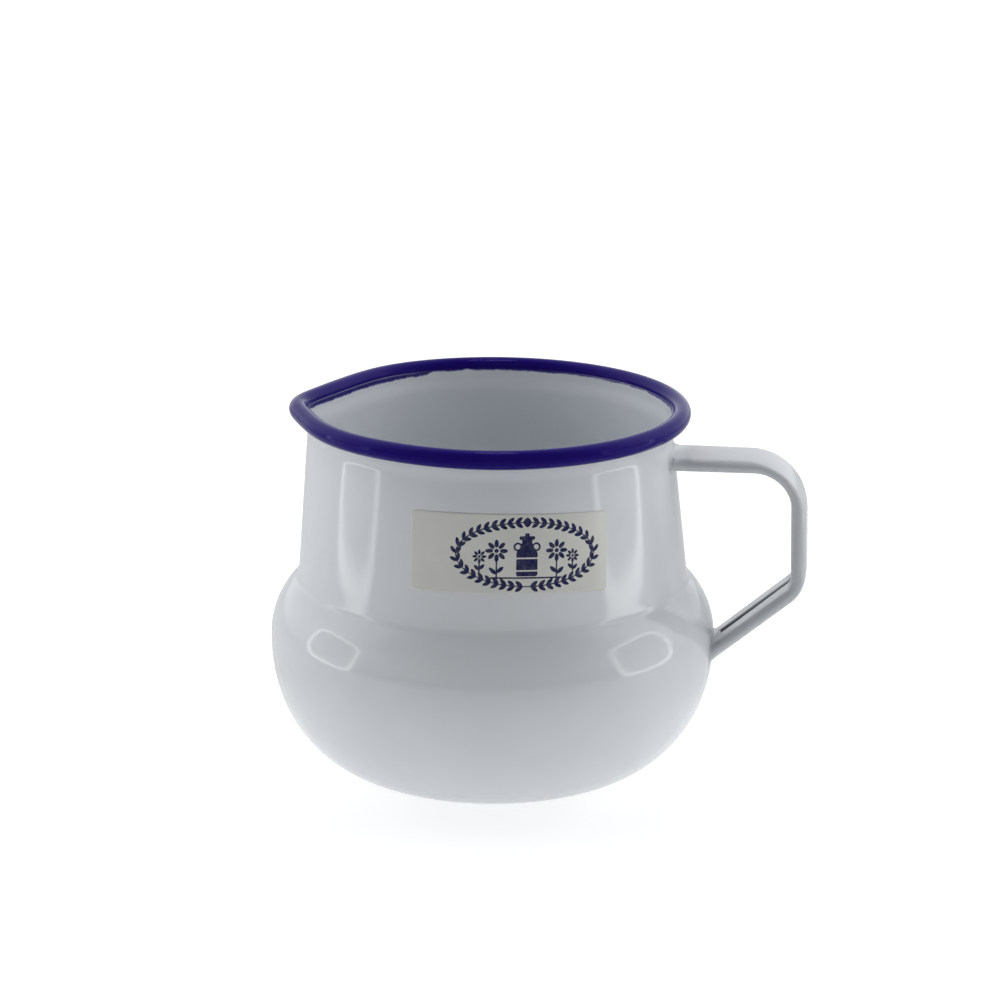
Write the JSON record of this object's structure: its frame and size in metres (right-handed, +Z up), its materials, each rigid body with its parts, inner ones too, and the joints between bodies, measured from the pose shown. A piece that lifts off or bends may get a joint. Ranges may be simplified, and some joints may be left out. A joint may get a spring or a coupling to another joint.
{
  "type": "enamelled milk jug",
  "caption": "Bellied white enamelled steel milk jug with a rolled blue rim, a pinched pouring lip and an angular flat-tube handle.",
  "frame": {"origin": "centre of the flat base that the jug stands on", "axes": "+Z up, +X towards the handle, -X towards the pouring lip, -Y the side with the sticker"},
  "size_m": [0.1523, 0.1266, 0.1067],
  "materials": {
    "white_enamel": "glossy white vitreous enamel fired on steel, inside and out",
    "blue_enamel": "glossy deep violet-blue vitreous enamel fired on steel",
    "weld_enamel": "weld under glossy white vitreous enamel",
    "label_film": "satin silver-grey sticker"
  },
  "bodies": {
    "root": {"pot_shell": "white_enamel", "rim_bead": "blue_enamel", "handle_strap": "white_enamel", "upper_weld_pad": "weld_enamel", "lower_weld_pad": "weld_enamel", "label_sticker": "label_film"}
  },
  "joints": []
}
